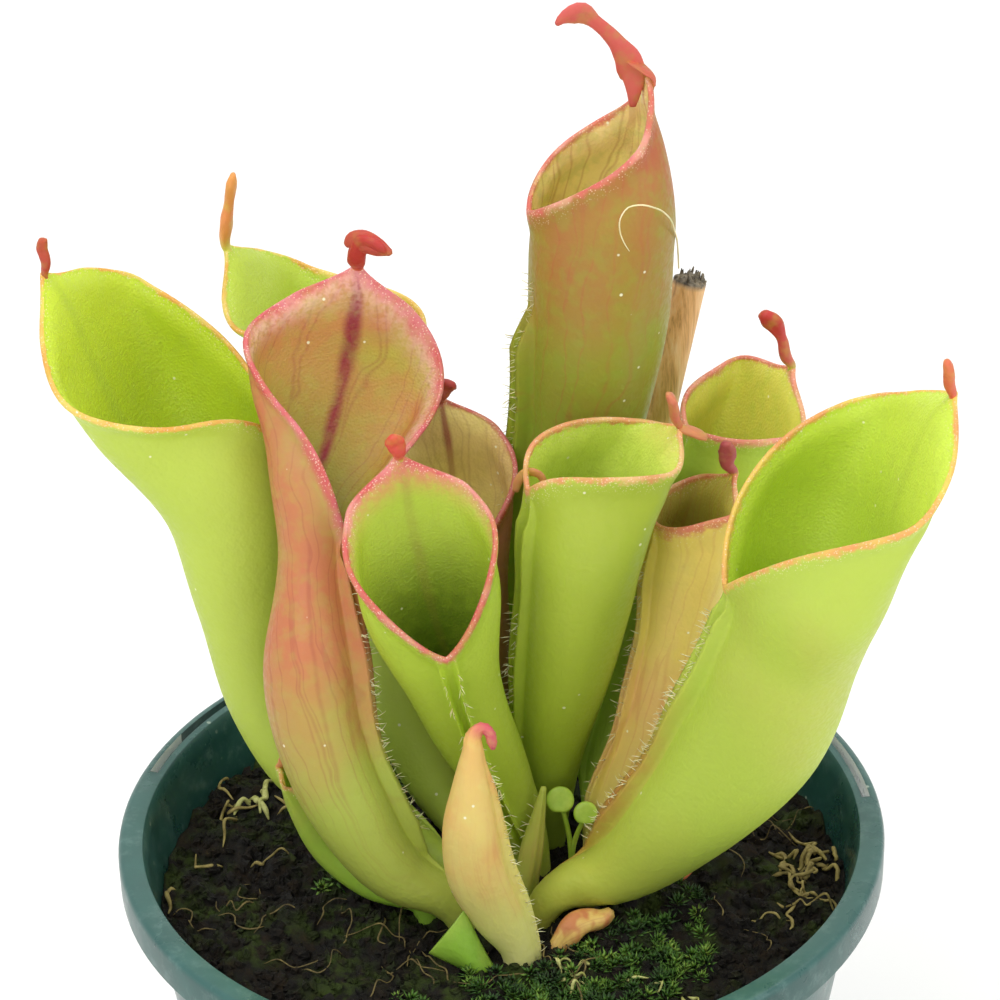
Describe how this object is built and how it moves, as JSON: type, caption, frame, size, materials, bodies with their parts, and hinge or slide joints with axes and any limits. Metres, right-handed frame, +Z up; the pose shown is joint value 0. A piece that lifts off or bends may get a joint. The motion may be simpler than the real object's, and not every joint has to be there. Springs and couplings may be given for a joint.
{
  "type": "potted pitcher plant",
  "caption": "Clump of upright tubular pitcher leaves with flared mouths and small hoods, growing in peat in a round tapered plastic nursery pot, with a thin bamboo stake.",
  "frame": {"origin": "centre of the pot's underside, on the plane it stands on", "axes": "+Z up along the pot's axis, +X to the right seen from the front, +Y away from the front"},
  "size_m": [0.123, 0.11, 0.2069],
  "materials": {
    "pot_plastic": "glossy dark teal plastic, dusty",
    "peat": "matte wet peat",
    "root": "matte",
    "bamboo": "satin, fine grain",
    "green_leaf": "soft satin leaf",
    "red_leaf": "soft satin leaf",
    "amber_leaf": "soft satin leaf",
    "young_leaf": "soft satin leaf",
    "faded_leaf": "dull drying leaf"
  },
  "bodies": {
    "root": {"pot": "pot_plastic", "soil": "peat", "root_stock": "root", "bamboo_stake": "bamboo", "pitcher_front_left": "red_leaf", "pitcher_front_middle": "green_leaf", "pitcher_middle_right": "green_leaf", "pitcher_right": "green_leaf", "pitcher_left": "green_leaf", "pitcher_back_left": "green_leaf", "pitcher_tall_back": "amber_leaf", "pitcher_middle_back": "red_leaf", "pitcher_right_inner": "red_leaf", "pitcher_right_back": "green_leaf", "young_pitcher": "young_leaf", "small_pitcher_left": "green_leaf", "small_leaf_front": "green_leaf", "small_shoot": "green_leaf", "faded_leaf": "faded_leaf", "seedling": "green_leaf"}
  },
  "joints": []
}
